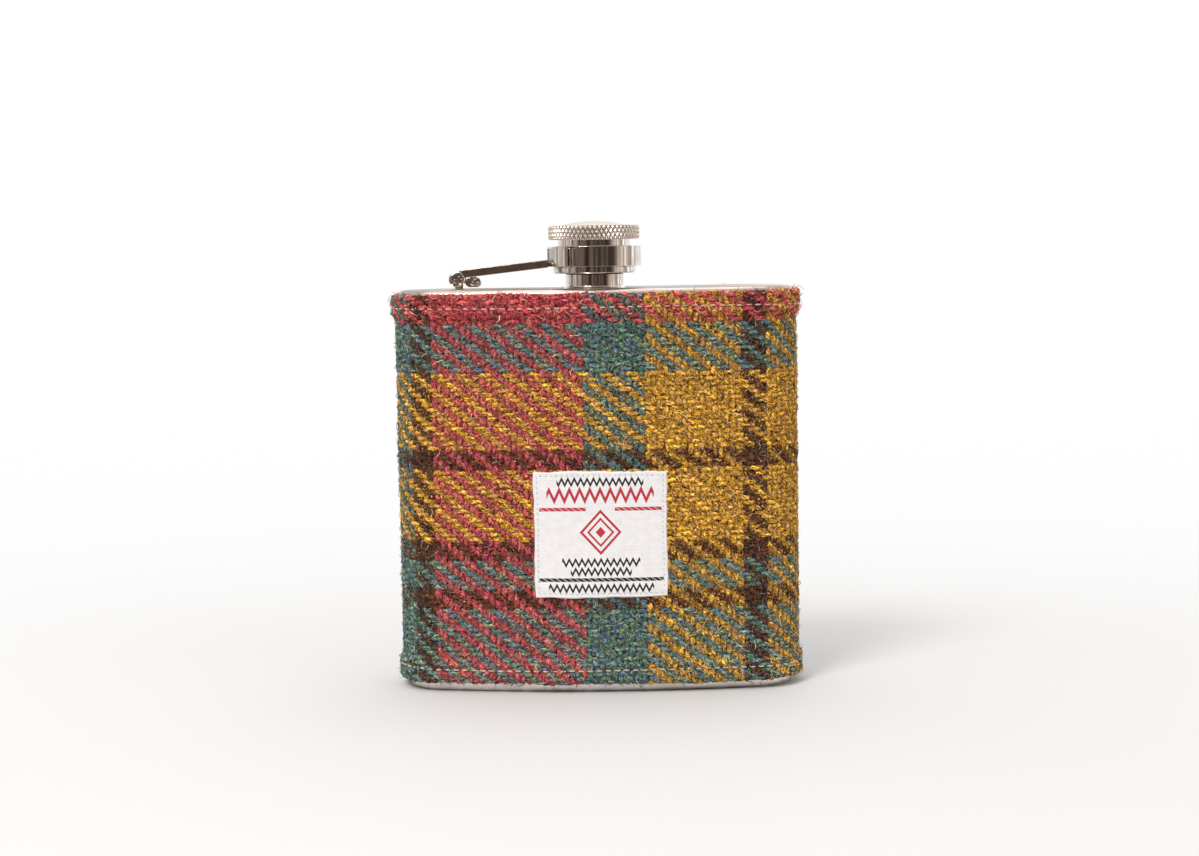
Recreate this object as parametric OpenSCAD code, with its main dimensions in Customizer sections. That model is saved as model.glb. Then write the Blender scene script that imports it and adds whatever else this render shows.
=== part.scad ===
/* Captive-top hip flask in a stitched tweed sleeve.
   +Z up, front (convex face, with the label) towards -Y, hinge towards -X.
   Origin: centre of the footprint, on the surface that the flask stands on. */

/* [Flask body] */
// Width of the bare metal body
body_w = 94.6; // [80:0.1:110]
// Thickness of the bare metal body, front to back
body_t = 21; // [18:0.5:24]
// Height of the bare metal body
body_h = 96; // [80:1:120]
// Radius of the curve that the body follows
curve_r = 210; // [150:5:400]
// Sheet thickness of the wall
wall_t = 0.6; // [0.4:0.1:1]
// Height of the drawn shoulder and base pans
pan_h = 2.4; // [2:0.1:4]
// Radius of the pans' outer edges
pan_edge_r = 1.5; // [0.5:0.1:2]

/* [Sleeve] */
// Thickness of the bonding film under the cloth
film_t = 0.15; // [0.1:0.05:0.3]
// Thickness of the cloth
cloth_t = 1.05; // [1:0.05:1.6]
// How far the folded hems and the lap stand out from the cloth
hem_bulge = 0.9; // [0.3:0.1:0.9]
// Height of the folded hems
hem_h = 4.4; // [3:0.1:6]
// Lower edge of the cloth
sleeve_z0 = 2.2; // [0.8:0.1:3]
// Upper edge of the cloth
sleeve_z1 = 94.9; // [90:0.1:95]
// Distance of each row of stitches from its edge
stitch_inset = 3.3; // [2:0.1:4.2]
// Thickness of the sewing thread
thread_d = 0.35; // [0.25:0.05:0.5]
// Width of the lap down the back
lap_w = 9; // [6:1:14]

/* [Label] */
// Width of the woven label
label_w = 31.4; // [20:0.1:40]
// Height of the woven label
label_h = 29.8; // [20:0.1:40]
// Lower edge of the label
label_z0 = 23.1; // [15:0.1:40]
// Sideways place of the label's centre
label_x = 0.8; // [-3:0.1:3]
// Thickness of the label
label_t = 0.45; // [0.3:0.05:0.6]

/* [Neck and cap] */
// Radius of the neck's plain foot
neck_r = 6.95; // [6.5:0.05:7]
// Radius of the neck above its foot, at the root of the thread
neck_thread_r = 6.35; // [6:0.05:6.4]
// Radius of the neck's bore
neck_bore_r = 5; // [4:0.1:5.2]
// Height of the neck's rim above the shoulder
neck_h = 9.2; // [9:0.1:9.3]
// Bore radius of the cap's sleeve
cap_bore_r = 7.05; // [7.05:0.05:7.2]
// Height of the cap's lower edge above the shoulder
cap_z = 3.5; // [3.4:0.1:3.6]
// Radius of the knurled head
head_r = 10.9; // [10.5:0.1:12]
// Height of the knurled head's rim
head_h = 3.3; // [3:0.1:4]
// Height of the dome above the rim
dome_h = 1.1; // [0.5:0.1:2]
// Radius of the lower flange that keeps the strap on the cap
flange_r = 9.9; // [9.8:0.05:10.2]
// Radial play between the cap and the strap
strap_play = 0.08; // [0.05:0.01:0.1]

/* [Captive strap and hinge] */
// Outer radius of the strap around the cap
strap_r = 11.25; // [11:0.05:11.5]
// Height of the strap
strap_h = 4.7; // [4:0.1:4.8]
// Distance from the hinge pin to the cap's axis
arm_l = 32.8; // [31:0.1:34]
// Height of the hinge pin above the shoulder
pin_z = 2.5; // [2.4:0.1:3]
// Radius of the hinge pin
pin_r = 0.7; // [0.6:0.05:0.8]
// Width of the swing arm
arm_w = 4.9; // [4.5:0.1:6]
// Width of the hinge post
post_w = 2.4; // [2:0.1:2.6]

/* [Hidden] */
$fn = 128;
eps = 0.01;

// Half thicknesses of the layers, measured from the body's curved middle line
metal_h = body_t / 2;
inner_h = metal_h - wall_t;
film_h = metal_h + film_t;
cloth_h = film_h + cloth_t;
hem_hh = cloth_h + hem_bulge;
skin_gap = 0.04;

// The middle line: an arc whose ends are the centres of the round sides
mid_x = body_w / 2 - metal_h;
mid_a = asin(mid_x / curve_r);
mid_sag = curve_r * (1 - cos(mid_a));
axis_y = -mid_sag / 2;

// The hinge: pin centre, and the running clearances
pin_x = -arm_l;
pin_height = body_h + pin_z;
pin_gap = 0.05;
cheek_gap = 0.15;
eye_r = 1.7;
head_pin_r = 1.9;
head_pin_t = 0.5;
post_foot_w = 1.9;
post_foot_x = 0.5;

// The cap: levels from its lower edge upwards
cap_z0 = body_h + cap_z;
flange_t = 1.5;
strap_z0 = cap_z0 + flange_t + 0.15;
waist_r = 8.6;
strap_ir = strap_r - 1.7;
sleeve_r = strap_ir - strap_play;
waist_z0 = strap_z0 + strap_h - 0.1;
head_z0 = cap_z0 + 7.9;
seal_t = 1.1;
seal_z0 = body_h + neck_h + 0.05;
edge = 0.3;

// Strap: where it is open and where its window is, in degrees round from the front
gap_a0 = 26;
gap_a1 = 32;
window_a0 = 57;
window_a1 = 79;

front_steps = 36;
end_steps = 18;
edge_steps = 5;

// Outline of the body at half thickness h: front arc, right end, back arc, left end
function on_arc(a, r) = [r * sin(a), axis_y + curve_r - r * cos(a)];
function outline(h) = concat(
    [for (i = [0:front_steps - 1]) on_arc(-mid_a + 2 * mid_a * i / front_steps, curve_r + h)],
    [for (i = [0:end_steps - 1])
        on_arc(mid_a, curve_r) + h * [sin(mid_a + 180 * i / end_steps), -cos(mid_a + 180 * i / end_steps)]],
    [for (i = [0:front_steps - 1]) on_arc(mid_a - 2 * mid_a * i / front_steps, curve_r - h)],
    [for (i = [0:end_steps - 1])
        on_arc(-mid_a, curve_r)
        + h * [-sin(mid_a + 180 - 180 * i / end_steps), -cos(mid_a + 180 - 180 * i / end_steps)]]
);

// Solid whose outline follows a list of [half thickness, height], from the bottom up
module loft(levels) {
    rings = [for (l = levels) [for (p = outline(l[0])) [p.x, p.y, l[1]]]];
    n = len(rings[0]);
    m = len(rings);
    polyhedron(
        [for (r = rings) each r],
        concat(
            [[for (i = [0:n - 1]) i]],
            [for (k = [0:m - 2]) for (i = [0:n - 1]) each [
                [k * n + i, (k + 1) * n + i, (k + 1) * n + (i + 1) % n],
                [k * n + i, (k + 1) * n + (i + 1) % n, k * n + (i + 1) % n]
            ]],
            [[for (i = [n - 1:-1:0]) (m - 1) * n + i]]
        )
    );
}

module prism(h, z0, z1) {
    translate([0, 0, z0]) linear_extrude(z1 - z0) polygon(outline(h));
}

module layer(h0, h1, z0, z1) {
    difference() {
        prism(h1, z0, z1);
        prism(h0, z0 - 1, z1 + 1);
    }
}

// A cylinder along Y, centred on y = axis_y
module crosswise(r, w, x, z) {
    translate([x, axis_y + w / 2, z]) rotate([90, 0, 0]) cylinder(r = r, h = w);
}

// A flat outline in X and Z from the pin's centre, made w wide along Y
module hinge_plate(w) {
    translate([pin_x, axis_y + w / 2, pin_height]) rotate([90, 0, 0]) linear_extrude(w) children();
}

// Rounded rim of a pan: half thicknesses and heights from its edge inwards
function rim(r) = [for (i = [0:edge_steps])
    [metal_h - r * (1 - cos(90 * i / edge_steps)), r * sin(90 * i / edge_steps)]];
function rim_down(r) = [for (i = [edge_steps:-1:0]) [rim(r)[i][0], r - rim(r)[i][1]]];

module body_shell() {
    color("gainsboro") layer(inner_h, metal_h, pan_h, body_h - pan_h);
}

module shoulder_pan() {
    plate_t = 0.8;
    color("gainsboro") difference() {
        loft(concat(
            [[metal_h, body_h - pan_h]],
            [for (p = rim(pan_edge_r)) [p[0], body_h - pan_edge_r + p[1]]]
        ));
        prism(inner_h, body_h - pan_h - 1, body_h - plate_t);
        translate([0, axis_y, body_h - 2]) cylinder(r = neck_thread_r, h = 4);
    }
}

module base_pan() {
    plate_t = 0.8;
    color("gainsboro") difference() {
        loft(concat(rim_down(pan_edge_r), [[metal_h, pan_h]]));
        prism(inner_h, plate_t, pan_h + 1);
    }
}

module neck_tube() {
    rim_z = body_h + neck_h;
    color("silver") translate([0, axis_y, 0]) rotate_extrude() polygon([
        [neck_bore_r, body_h - 0.8], [neck_thread_r, body_h - 0.8], [neck_thread_r, body_h],
        [neck_r, body_h], [neck_r, cap_z0 - edge], [neck_r - edge, cap_z0 - edge / 2],
        [neck_thread_r, cap_z0 - edge / 2], [neck_thread_r, rim_z - edge],
        [neck_thread_r - edge, rim_z], [neck_bore_r + edge / 2, rim_z], [neck_bore_r, rim_z - edge / 2]
    ]);
}

// Brazed fillet where the neck meets the shoulder
module neck_braze() {
    color("silver") translate([0, axis_y, 0]) rotate_extrude() polygon([
        [neck_r, body_h], [neck_r + 0.5, body_h], [neck_r + 0.15, body_h + 0.15], [neck_r, body_h + 0.5]
    ]);
}

module hinge_post() {
    color("silver") difference() {
        hinge_plate(post_w) union() {
            circle(r = eye_r);
            translate([post_foot_x - post_foot_w / 2, -pin_z]) square([post_foot_w, pin_z - pin_r]);
        }
        crosswise(pin_r + pin_gap, post_w + 2, pin_x, pin_height);
    }
}

module bonding_film() {
    color("ivory") layer(metal_h, film_h, sleeve_z0 + 1, sleeve_z1 - 1);
}

module tweed_sleeve() {
    roll = 0.4;
    color("firebrick") difference() {
        union() {
            loft([
                [hem_hh - roll, sleeve_z0], [hem_hh, sleeve_z0 + roll],
                [hem_hh, sleeve_z0 + hem_h - roll], [cloth_h, sleeve_z0 + hem_h + roll],
                [cloth_h, sleeve_z1 - hem_h - roll], [hem_hh, sleeve_z1 - hem_h + roll],
                [hem_hh, sleeve_z1 - roll], [hem_hh - roll, sleeve_z1]
            ]);
            intersection() {
                prism(hem_hh, sleeve_z0 + roll, sleeve_z1 - roll);
                translate([-lap_w / 2, axis_y, 0]) cube([lap_w, body_t, body_h]);
            }
        }
        prism(metal_h + skin_gap, sleeve_z0 - 1, sleeve_z0 + 1);
        prism(film_h + skin_gap / 4, sleeve_z0 + 1 - eps, sleeve_z1 - 1 + eps);
        prism(metal_h + skin_gap, sleeve_z1 - 1, sleeve_z1 + 1);
    }
}

module stitch_row(z) {
    color("beige") layer(hem_hh + skin_gap, hem_hh + skin_gap + thread_d, z - thread_d / 2, z + thread_d / 2);
}

module top_stitching() {
    stitch_row(sleeve_z1 - stitch_inset);
}

module bottom_stitching() {
    stitch_row(sleeve_z0 + stitch_inset);
}

module lap_stitching() {
    row_x = lap_w / 2 - 1.5;
    h0 = hem_hh + skin_gap;
    color("beige") intersection() {
        layer(h0, h0 + thread_d, sleeve_z0 + hem_h, sleeve_z1 - hem_h);
        for (side = [-1, 1])
            translate([side * row_x - thread_d / 2, 0, 0]) cube([thread_d, body_t, body_h]);
    }
}

// A patch of one layer of the front, w wide and h high, centred on the label
module front_patch(h0, h1, w, h) {
    intersection() {
        layer(h0, h1, label_z0 - 1, label_z0 + label_h + 1);
        translate([label_x - w / 2, axis_y - body_t, label_z0 + label_h / 2 - h / 2])
            cube([w, body_t, h]);
    }
}

module woven_label() {
    h0 = cloth_h + skin_gap;
    color("white") front_patch(h0, h0 + label_t, label_w, label_h);
}

module label_stitching() {
    h0 = cloth_h + 2 * skin_gap + label_t;
    inset = 1.2;
    color("white") difference() {
        front_patch(h0, h0 + thread_d / 2, label_w - inset, label_h - inset);
        front_patch(h0 - 1, h0 + 1, label_w - inset - thread_d, label_h - inset - thread_d);
    }
}

// Side view of the arm, from the pin's centre
module arm_profile() {
    run = arm_l - strap_r + 2;
    top_slope = tan(6.1);
    low_slope = tan(6.1);
    polygon([
        [-1.4, 0.7], [-0.3, 1.95], [run, 1.95 + run * top_slope],
        [run, 0.1 + run * low_slope], [1.5, 0.1 + 1.5 * low_slope], [0, -1]
    ]);
}

module swing_arm() {
    notch = post_w + 2 * cheek_gap;
    color("dimgray") difference() {
        union() {
            hinge_plate(arm_w) arm_profile();
            crosswise(eye_r, arm_w, pin_x, pin_height);
        }
        crosswise(eye_r + 0.35, notch, pin_x, pin_height);
        crosswise(pin_r, arm_w + 2, pin_x, pin_height);
        translate([0, axis_y, strap_z0 - 2]) cylinder(r = strap_r, h = strap_h + 4);
    }
}

// One wedge of the ring, from angle a0 to a1 round from the front towards the hinge
module strap_cut(a0, a1, z0, z1) {
    reach = 2 * strap_r;
    translate([0, axis_y, z0]) linear_extrude(z1 - z0) polygon([
        [0, 0], [-reach * sin(a0), -reach * cos(a0)], [-reach * sin(a1), -reach * cos(a1)]
    ]);
}

module captive_strap() {
    z1 = strap_z0 + strap_h;
    corner = 0.9;
    color("silver") difference() {
        translate([0, axis_y, strap_z0]) cylinder(r = strap_r, h = strap_h);
        translate([0, axis_y, strap_z0 - 1]) cylinder(r = strap_ir, h = strap_h + 2);
        strap_cut(gap_a0, gap_a1, strap_z0 - 1, z1 + 1);
        strap_cut(gap_a0 - 4, gap_a1, z1 - corner / 2, z1 + 1);
        strap_cut(window_a0, window_a1, strap_z0 + corner, z1 - corner / 2);
    }
}

module hinge_pin() {
    color("silver") {
        crosswise(pin_r, arm_w, pin_x, pin_height);
        for (side = [-1, 1])
            translate([pin_x, axis_y + side * arm_w / 2, pin_height]) rotate([-side * 90, 0, 0])
                rotate_extrude() polygon([
                    [0, 0], [head_pin_r, 0], [head_pin_r, head_pin_t / 2],
                    [head_pin_r * 0.7, head_pin_t], [0, head_pin_t]
                ]);
    }
}

// Short round bar brazed across the underside of the arm, beside the hinge
module arm_heel() {
    heel_r = 1.12;
    heel_w = 3.4;
    heel_z = -0.85;
    x0 = 3.1;
    x1 = 4.6;
    color("silver") hinge_plate(heel_w) difference() {
        union() {
            translate([x0, heel_z]) circle(r = heel_r);
            translate([x1, heel_z]) circle(r = heel_r);
            translate([x0, heel_z - heel_r]) square([x1 - x0, 2 * heel_r + 0.6]);
        }
        arm_profile();
    }
}

module cap_head() {
    rim_z = head_z0 + head_h;
    dome_w = head_r - 3;
    dome_r = (dome_w * dome_w + dome_h * dome_h) / (2 * dome_h);
    arc = asin(dome_w / dome_r);
    color("silver") translate([0, axis_y, 0]) rotate_extrude() polygon(concat(
        [[0, seal_z0 + seal_t], [cap_bore_r, seal_z0 + seal_t], [cap_bore_r, head_z0],
         [head_r - edge, head_z0], [head_r, head_z0 + edge], [head_r, rim_z - edge],
         [head_r - edge, rim_z]],
        [for (i = [8:-1:0]) [dome_r * sin(arc * i / 8), rim_z + dome_h - dome_r * (1 - cos(arc * i / 8))]]
    ));
}

module cap_sleeve() {
    color("silver") translate([0, axis_y, 0]) rotate_extrude() polygon([
        [cap_bore_r, cap_z0], [flange_r - edge, cap_z0], [flange_r, cap_z0 + edge],
        [flange_r, cap_z0 + flange_t - edge / 2], [flange_r - edge / 2, cap_z0 + flange_t],
        [sleeve_r, cap_z0 + flange_t], [sleeve_r, waist_z0], [waist_r, waist_z0 + edge],
        [waist_r, head_z0], [cap_bore_r, head_z0]
    ]);
}

module cap_seal() {
    color("whitesmoke") translate([0, axis_y, seal_z0]) cylinder(r = cap_bore_r - 0.05, h = seal_t);
}

body_shell();
shoulder_pan();
base_pan();
neck_tube();
neck_braze();
hinge_post();
bonding_film();
tweed_sleeve();
top_stitching();
bottom_stitching();
lap_stitching();
woven_label();
label_stitching();
swing_arm();
captive_strap();
hinge_pin();
arm_heel();
cap_head();
cap_sleeve();
cap_seal();
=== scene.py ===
"""A captive-top hip flask: steel body, cap and swing arm, a stitched twill tweed sleeve and a woven label.

Everything is in metres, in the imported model's own frame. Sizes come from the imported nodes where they
have them.
"""
import math

import bmesh
import bpy
import numpy as np
from mathutils import Matrix, Vector


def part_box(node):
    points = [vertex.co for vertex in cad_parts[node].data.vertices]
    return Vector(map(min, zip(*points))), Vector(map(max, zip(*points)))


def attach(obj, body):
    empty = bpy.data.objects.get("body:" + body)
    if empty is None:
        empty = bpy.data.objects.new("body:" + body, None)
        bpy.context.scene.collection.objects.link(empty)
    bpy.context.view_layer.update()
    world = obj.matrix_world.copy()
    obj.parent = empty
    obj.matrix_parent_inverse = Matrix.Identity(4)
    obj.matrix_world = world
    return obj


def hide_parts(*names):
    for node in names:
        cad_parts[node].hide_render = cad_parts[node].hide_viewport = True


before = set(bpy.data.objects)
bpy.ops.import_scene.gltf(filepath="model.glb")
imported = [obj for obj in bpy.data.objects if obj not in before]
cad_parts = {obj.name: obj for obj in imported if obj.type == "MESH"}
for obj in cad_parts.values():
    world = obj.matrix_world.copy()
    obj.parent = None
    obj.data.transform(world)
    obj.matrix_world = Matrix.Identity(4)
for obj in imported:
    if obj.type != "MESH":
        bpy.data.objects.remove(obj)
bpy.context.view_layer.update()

MM = 0.001

# ---------------------------------------------------------------- cloth and thread sizes, in metres
WARP_PITCH = 1.45 * MM
WEFT_PITCH = 1.15 * MM
SETT = [
    ("red", 25), ("teal", 10), ("mustard", 16), ("brown", 4), ("mustard", 15),
    ("brown", 4), ("teal", 6), ("brown", 4), ("teal", 16), ("brown", 4),
]
SETT_YARNS = sum(count for _, count in SETT)
RED_STARTS_AT_WARP = -27
TEAL_STARTS_BELOW = 6.9 * MM  # from the sleeve's upper edge, where the red weft ends
RED_YARNS = SETT[0][1]
FLOAT_LIFT = 0.24  # how far a float arches, in millimetres
YARN_ROUND = 0.40  # how proud a yarn's round section stands, in millimetres
TWILL_TURN = math.pi / 2  # a float rises and falls over four yarns
STITCH_PITCH = 2.15 * MM
STITCH_LENGTH = 1.55 * MM
THREAD = 0.36 * MM
STITCH_INSET = 3.3 * MM
HEM_HEIGHT = 4.4 * MM
HEM_BULGE = 0.9 * MM
NAP = 0.42 * MM  # how far below the sleeve's envelope its yarns lie, under the loose nap
CELL = 0.24 * MM  # mesh step across the cloth
LAP_HALF = 4.5 * MM
LABEL_SEAM = 0.9 * MM  # from the label's edge
FUZZ_GAP = 1.9 * MM  # kept clear of loose fibres round the label
SCREW_PITCH = 1.25 * MM

# Linear colours of the yarns: the main fibre, and two that are carded into it
YARNS = {
    "red": [(0.52, 0.040, 0.070), (0.64, 0.132, 0.094), (0.25, 0.017, 0.102)],
    "teal": [(0.060, 0.175, 0.122), (0.055, 0.140, 0.250), (0.290, 0.265, 0.064)],
    "mustard": [(0.68, 0.338, 0.015), (0.43, 0.192, 0.046), (0.88, 0.565, 0.082)],
    "brown": [(0.044, 0.011, 0.002), (0.122, 0.021, 0.004), (0.014, 0.007, 0.004)],
}


# ---------------------------------------------------------------- shader kit
class Value:
    """A socket of a shader tree. Operators on it add Math nodes."""

    def __init__(self, tree, socket):
        self.tree, self.socket = tree, socket

    def math(self, operation, *others):
        return self.tree.add("Math", {"operation": operation}, self, *others)

    def __add__(self, other): return self.math("ADD", other)
    def __radd__(self, other): return self.math("ADD", other)
    def __sub__(self, other): return self.math("SUBTRACT", other)
    def __rsub__(self, other): return self.tree.number(other).math("SUBTRACT", self)
    def __mul__(self, other): return self.math("MULTIPLY", other)
    def __rmul__(self, other): return self.math("MULTIPLY", other)
    def __truediv__(self, other): return self.math("DIVIDE", other)
    def __rtruediv__(self, other): return self.tree.number(other).math("DIVIDE", self)
    def __pow__(self, other): return self.math("POWER", other)
    def __gt__(self, other): return self.math("GREATER_THAN", other)
    def __lt__(self, other): return self.math("LESS_THAN", other)
    def floor(self): return self.math("FLOOR")
    def fract(self): return self.math("FRACT")
    def abs(self): return self.math("ABSOLUTE")
    def cos(self): return self.math("COSINE")
    def sqrt(self): return self.math("SQRT")
    def max(self, other): return self.math("MAXIMUM", other)
    def min(self, other): return self.math("MINIMUM", other)


class Shader:
    """Adds nodes to a material's or a world's tree."""

    def __init__(self, tree):
        self.nodes, self.links = tree.nodes, tree.links

    def add(self, kind, settings=None, *values, out=0, **named):
        """Adds a node, makes its settings, plugs its inputs in order or by name, and gives one output."""
        node = self.nodes.new("ShaderNode" + kind)
        for key, value in (settings or {}).items():
            setattr(node, key, value)
        for slot, value in [*enumerate(values), *named.items()]:
            self.plug(node.inputs[slot.replace("_", " ") if isinstance(slot, str) else slot], value)
        return None if out is None else Value(self, node.outputs[out])

    def plug(self, socket, value):
        if isinstance(value, Value):
            self.links.new(value.socket, socket)
        elif value is not None:
            socket.default_value = value

    def number(self, value):
        return self.add("Math", {"operation": "ADD"}, float(value), 0.0)

    def split(self, vector):
        node = self.nodes.new("ShaderNodeSeparateXYZ")
        self.plug(node.inputs[0], vector)
        return [Value(self, output) for output in node.outputs]

    def join(self, x, y, z=0.0):
        return self.add("CombineXYZ", None, x, y, z)

    def scaled(self, vector, scale):
        return self.add("Mapping", None, vector, Scale=scale)

    def noise(self, vector, scale, detail=2.0, roughness=0.5):
        return self.add("TexNoise", None, Vector=vector, Scale=scale, Detail=detail, Roughness=roughness)

    def band(self, value, low, high, to_low=0.0, to_high=1.0):
        """Value from low to high, spread smoothly over to_low to to_high."""
        settings = {"interpolation_type": "SMOOTHSTEP"}
        return self.add("MapRange", settings, value, low, high, to_low, to_high)

    def mix(self, factor, a, b, blend="MIX"):
        """Mixes two colours. Numbers are given as tuples of three."""
        node = self.nodes.new("ShaderNodeMix")
        node.data_type, node.blend_type = "RGBA", blend
        self.plug(node.inputs[0], factor)
        for slot, value in ((6, a), (7, b)):
            self.plug(node.inputs[slot], value if isinstance(value, Value) else (*value, 1.0))
        return Value(self, node.outputs[2])

    def shaded(self, colour, shade):
        """A colour times a number."""
        return self.mix(1.0, colour, self.join(shade, shade, shade), "MULTIPLY")

    def pick(self, factor, a, b):
        """Mixes two vectors."""
        node = self.nodes.new("ShaderNodeMix")
        node.data_type = "VECTOR"
        for slot, value in ((0, factor), (4, a), (5, b)):
            self.plug(node.inputs[slot], value)
        return Value(self, node.outputs[1])

    def ramp(self, factor, stops, interpolation="LINEAR"):
        """A colour ramp from a list of (position, colour)."""
        node = self.nodes.new("ShaderNodeValToRGB")
        ramp = node.color_ramp
        ramp.interpolation = interpolation
        while len(ramp.elements) < len(stops):
            ramp.elements.new(1.0)
        for element, (position, colour) in zip(ramp.elements, stops):
            element.position, element.color = position, (*colour, 1.0)
        self.plug(node.inputs[0], factor)
        return Value(self, node.outputs[0])


class Finish(Shader):
    """A material and its Principled shader. Constants are set straight on the shader's own sockets."""

    def __init__(self, name, **constants):
        self.material = bpy.data.materials.new(name)
        self.material.use_nodes = True
        super().__init__(self.material.node_tree)
        self.shader = self.nodes["Principled BSDF"]
        for socket, value in constants.items():
            self.shader.inputs[socket.replace("_", " ")].default_value = value

    def put(self, socket, value):
        self.plug(self.shader.inputs[socket], value)

    def attribute(self, name):
        return self.add("Attribute", {"attribute_name": name}, out="Vector")

    def object_place(self):
        return self.add("TexCoord", out="Object")

    def bump(self, height, strength, distance):
        self.put("Normal", self.add("Bump", None, Strength=strength, Distance=distance, Height=height))


# ---------------------------------------------------------------- tweed
def sett_stops(part):
    """Stops of the stripe sequence, for the main fibre (0) or a carded one (1, 2)."""
    stops, yarn = [], 0
    for colour, count in SETT:
        stops.append((yarn / SETT_YARNS, YARNS[colour][part]))
        yarn += count
    return stops


def twill(u, v):
    """Height of the warp over the weft in a 2/2 twill, and of the upper of the two, in millimetres."""
    column, row = u.floor(), v.floor()
    across_warp, across_weft = (u - column) * 2 - 1, (v - row) * 2 - 1
    warp = ((column + v - 1) * TWILL_TURN).cos() * FLOAT_LIFT
    weft = ((u + row - 1) * TWILL_TURN).cos() * -FLOAT_LIFT
    warp = warp + (1.0 - across_warp * across_warp).max(0.0).sqrt() * YARN_ROUND
    weft = weft + (1.0 - across_weft * across_weft).max(0.0).sqrt() * YARN_ROUND
    return warp - weft, warp.max(weft)


def tweed_colour(f, weave):
    """Colour of the yarn that lies on top, with its carded fibres and some of its neighbour's; the
    fibre pattern along the yarn; the weave's height, and how far its warp is over its weft; and the
    place in millimetres."""
    u, v, _ = f.split(weave)
    x, z = u * (WARP_PITCH / MM), v * (WEFT_PITCH / MM)
    place = f.join(x, z)
    over, height = twill(u, v)
    ragged = (f.noise(place, 2.6, 2.0) - 0.5) * 0.45
    warp_on_top = f.band(over + ragged, -0.12, -0.02)
    warp_yarn = u.floor() - RED_STARTS_AT_WARP + 0.5
    weft_yarn = RED_YARNS - 0.5 - v.floor()
    warp_step = (warp_yarn / SETT_YARNS).fract()
    weft_step = (weft_yarn / SETT_YARNS).fract()
    along_warp = f.join(x * 3.4 + z * 2.0, z * 1.0, warp_yarn * 3.7)
    along_weft = f.join(z * 3.6 + x * 1.2, x * 0.8, weft_yarn * 5.3)
    fibre_place = f.pick(warp_on_top, along_weft, along_warp)
    fibres = f.noise(fibre_place, 1.0, 3.0, 0.65)
    strands = f.noise(fibre_place, 0.55, 2.0, 0.5)
    stray = f.noise(place, 1.9, 3.0, 0.6)
    shown = f.mix(f.band(stray, 0.56, 0.63), f.join(warp_on_top, 0.0), f.join(1.0 - warp_on_top, 0.0))
    shown, _, _ = f.split(shown)
    tones = []
    for part in range(3):
        stops = sett_stops(part)
        tones.append(f.mix(shown, *(f.ramp(step, stops, "CONSTANT") for step in (weft_step, warp_step))))
    colour = f.mix(f.band(strands, 0.47, 0.58), tones[0], tones[1])
    colour = f.mix(f.band(fibres, 0.54, 0.66), colour, tones[2])
    # Where the warp is shown, its colour is drawn up to a quarter darker than the weft's.
    return f.shaded(colour, 1.0 - shown * 0.24), fibres, height, over, place


def curls(f, place, layer, scale, width):
    """Curly loose fibres: the contour lines of a noise, broken into lengths by another."""
    moved = f.add("VectorMath", {"operation": "ADD"}, place, (layer * 7.3, layer * 3.1, layer * 5.7))
    line = f.band((f.noise(moved, scale, 1.5) - 0.5).abs(), width, width * 0.3)
    return line * f.band(f.noise(moved, scale * 0.8, 1.0), 0.44, 0.52)


def tweed_finish():
    """Twill with its own fibres, painted shade in the gaps and hollows of the weave, painted highlights on
    its high floats, worn places and curly stray fibres.
    """
    f = Finish("wool_tweed", Roughness=0.9, Sheen_Weight=0.03, Sheen_Roughness=0.5)
    f.shader.inputs["Specular IOR Level"].default_value = 0.12
    colour, fibres, height, over, place = tweed_colour(f, f.attribute("weave"))
    # Pale curls: stray fibres drawn lighter than their yarn, partly pale fibres and partly painted
    # highlight where fibres catch the light.
    pale = curls(f, place, 1, 0.9, 0.065).max(curls(f, place, 2, 1.3, 0.085))
    pale = pale.max(curls(f, place, 3, 1.8, 0.10))
    dark = curls(f, place, 4, 1.1, 0.075).max(curls(f, place, 5, 1.7, 0.10))
    worn = f.noise(place, 0.42, 3.0, 0.6)
    # Painted shade low in the weave and painted highlight on the high floats, by the weave's height; the
    # worn noise varies it at random.
    depth = f.band(height, 0.18, 0.60, 0.0, 1.4) * f.band(worn, 0.3, 0.7, 0.66, 1.35)
    # gap_shade: painted shade in the gaps between the yarns, where warp and weft cross.
    gap_shade = f.band(over.abs(), 0.0, 0.17, 0.24, 1.0)
    # The fibre tone times the painted shade and highlight above.
    shade = f.band(fibres, 0.33, 0.69, 0.10, 2.3) * depth * gap_shade
    # highlight_cream: the yarn colour paled toward cream and lightened, for painted highlights and for the
    # pale curls.
    highlight_cream = f.mix(1.0, f.mix(0.10, colour, (0.74, 0.56, 0.38)), (1.75,) * 3, "MULTIPLY")
    colour = f.shaded(colour, shade)
    # Painted highlight: where the shade runs highest, the colour pales toward cream.
    colour = f.mix(f.band(shade, 1.4, 3.4, 0.0, 0.5), colour, highlight_cream)
    colour = f.mix(dark * 0.75, colour, (0.012, 0.008, 0.007))
    # Colour of the pale curls: lightened yarn colour with the highlight cream, partly painted highlight.
    bright = f.mix(0.55, f.mix(1.0, colour, (1.9,) * 3, "MULTIPLY"), highlight_cream)
    f.put("Base Color", f.mix(pale * 0.85, colour, bright))
    f.bump(fibres + pale * 0.5 - dark * 0.2, 1.0, 0.3 * MM)
    return f.material


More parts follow.
